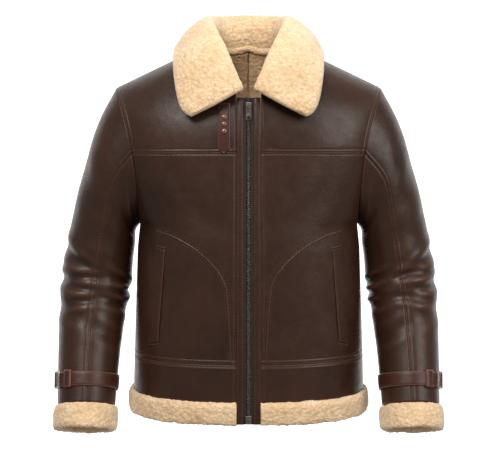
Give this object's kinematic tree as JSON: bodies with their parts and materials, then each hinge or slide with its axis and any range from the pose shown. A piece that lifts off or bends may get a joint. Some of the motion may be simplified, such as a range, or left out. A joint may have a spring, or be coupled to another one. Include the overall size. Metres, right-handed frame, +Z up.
{
  "type": "shearling leather jacket",
  "caption": "Zip-front shearling leather jacket with a folded fleece collar, fleece hem and cuffs, yoke seams, slanted welt pockets, a throat strap and buckled cuff straps, filled out as worn.",
  "frame": {"origin": "base of the neck, on the centre plane, where the wearer holds the jacket", "axes": "+Z up, the front faces -Y, +X is the wearer's left"},
  "size_m": [0.689, 0.2841, 0.7706],
  "materials": {
    "leather": "semi-matt dark brown grain",
    "strap_leather": "redder brown, smooth",
    "fleece": "curled cream wool",
    "zip_tape": "woven tape",
    "bronze": "antique grey bronze",
    "copper": "brushed warm copper"
  },
  "bodies": {
    "jacket": {"back_panel_L": "leather", "back_panel_R": "leather", "back_yoke": "leather", "collar": "fleece", "cuff_buckle_L": "bronze", "cuff_buckle_R": "bronze", "cuff_fleece_L": "fleece", "cuff_fleece_R": "fleece", "cuff_keeper_L": "strap_leather", "cuff_keeper_R": "strap_leather", "cuff_strap_L": "strap_leather", "cuff_strap_R": "strap_leather", "front_panel_L": "leather", "front_panel_R": "leather", "front_yoke_L": "leather", "front_yoke_R": "leather", "hem_fleece_L": "fleece", "hem_fleece_R": "fleece", "hem_fleece_back": "fleece", "hem_strip_back": "leather", "hem_strip_front_L": "leather", "hem_strip_front_R": "leather", "placket_L": "leather", "placket_R": "leather", "pocket_welt_L": "leather", "pocket_welt_R": "leather", "sleeve_top_L": "leather", "sleeve_top_R": "leather", "sleeve_under_L": "leather", "sleeve_under_R": "leather", "throat_rivet_1": "copper", "throat_rivet_2": "copper", "throat_rivet_3": "copper", "throat_strap": "strap_leather", "zip_box": "bronze", "zip_bridge": "bronze", "zip_slider": "bronze", "zip_tape_L": "zip_tape", "zip_tape_R": "zip_tape"},
    "pull_tab": {"zip_pull_tab": "bronze"}
  },
  "joints": [
    {"name": "pull_tab_hinge", "type": "hinge", "parent": "jacket", "child": "pull_tab", "pos_m": [0, -0.13552, -0.1053], "axis": [-1, 0, 0], "range_deg": [0, 150]}
  ]
}
